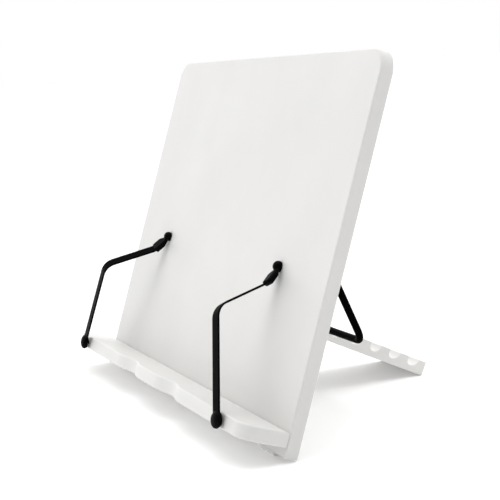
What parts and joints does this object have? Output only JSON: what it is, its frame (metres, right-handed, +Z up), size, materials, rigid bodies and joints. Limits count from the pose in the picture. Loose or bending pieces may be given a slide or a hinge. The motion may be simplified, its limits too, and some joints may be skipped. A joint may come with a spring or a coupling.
{
  "type": "tabletop drawing board stand",
  "caption": "White tilted tabletop board with a front ledge, two swivelling black holder arms, and a hinged notched rear leg locked by a black wire bail.",
  "frame": {"origin": "centre of the footprint's bounding box, on the table plane under the pads and the end of the leg", "axes": "+X to the right of a person facing the board, +Y away from that person towards the leg, +Z up"},
  "size_m": [0.34, 0.2042, 0.2296],
  "materials": {
    "white_board": "smooth satin white lacquer over fine fibreboard, no grain showing",
    "pale_rubber": "soft off-white rubber",
    "black_steel": "semi-gloss black powder coat on steel",
    "zinc_steel": "bright zinc plating",
    "black_plastic": "satin black moulded plastic",
    "black_rubber": "soft black rubber sleeve"
  },
  "bodies": {
    "stand": {"board": "white_board", "ledge": "white_board", "ledge_screw_left": "zinc_steel", "ledge_screw_middle": "zinc_steel", "ledge_screw_right": "zinc_steel", "board_pad_left": "pale_rubber", "board_pad_right": "pale_rubber", "hinge_leaf_board": "zinc_steel", "hinge_screw_board_left": "zinc_steel", "hinge_screw_board_right": "zinc_steel", "hinge_pin": "zinc_steel", "bail_clip_left": "black_steel", "bail_clip_right": "black_steel", "clip_screw_left_lower": "zinc_steel", "clip_screw_left_upper": "zinc_steel", "clip_screw_right_lower": "zinc_steel", "clip_screw_right_upper": "zinc_steel", "pivot_washer_left": "zinc_steel", "pivot_washer_right": "zinc_steel"},
    "leg": {"leg": "white_board", "hinge_leaf_leg": "zinc_steel", "hinge_screw_leg_left": "zinc_steel", "hinge_screw_leg_right": "zinc_steel"},
    "bail": {"bail": "black_steel"},
    "holder_left": {"holder_knob_left": "black_plastic", "pivot_screw_left": "zinc_steel"},
    "arm_left": {"holder_sleeve_left": "black_rubber", "holder_strip_left": "black_steel", "holder_tip_left": "black_rubber"},
    "holder_right": {"holder_knob_right": "black_plastic", "pivot_screw_right": "zinc_steel"},
    "arm_right": {"holder_sleeve_right": "black_rubber", "holder_strip_right": "black_steel", "holder_tip_right": "black_rubber"}
  },
  "joints": [
    {"name": "leg_hinge", "type": "hinge", "parent": "stand", "child": "leg", "pos_m": [0, -0.03267, 0.07835], "axis": [1, 0, 0], "range_deg": [-12, 0]},
    {"name": "bail_swing", "type": "hinge", "parent": "stand", "child": "bail", "pos_m": [0, -0.01472, 0.1278], "axis": [1, 0, 0], "range_deg": [0, 138]},
    {"name": "holder_swivel_right", "type": "hinge", "parent": "stand", "child": "holder_right", "pos_m": [0.1025, -0.03671, 0.10191], "axis": [0, -0.9438, 0.3305], "range_deg": [-84, 158]},
    {"name": "holder_flex_right", "type": "hinge", "parent": "holder_right", "child": "arm_right", "pos_m": [0.1025, -0.03803, 0.10238], "axis": [-0.9272, -0.1238, -0.3536], "range_deg": [0, 25], "stiffness_Nm_per_rad": 0.2, "springref_deg": -11.46},
    {"name": "holder_swivel_left", "type": "hinge", "parent": "stand", "child": "holder_left", "pos_m": [-0.1025, -0.03671, 0.10191], "axis": [0, 0.9438, -0.3305], "range_deg": [-84, 158]},
    {"name": "holder_flex_left", "type": "hinge", "parent": "holder_left", "child": "arm_left", "pos_m": [-0.1025, -0.03803, 0.10238], "axis": [-0.9272, 0.1238, 0.3536], "range_deg": [0, 25], "stiffness_Nm_per_rad": 0.2, "springref_deg": -11.46}
  ]
}
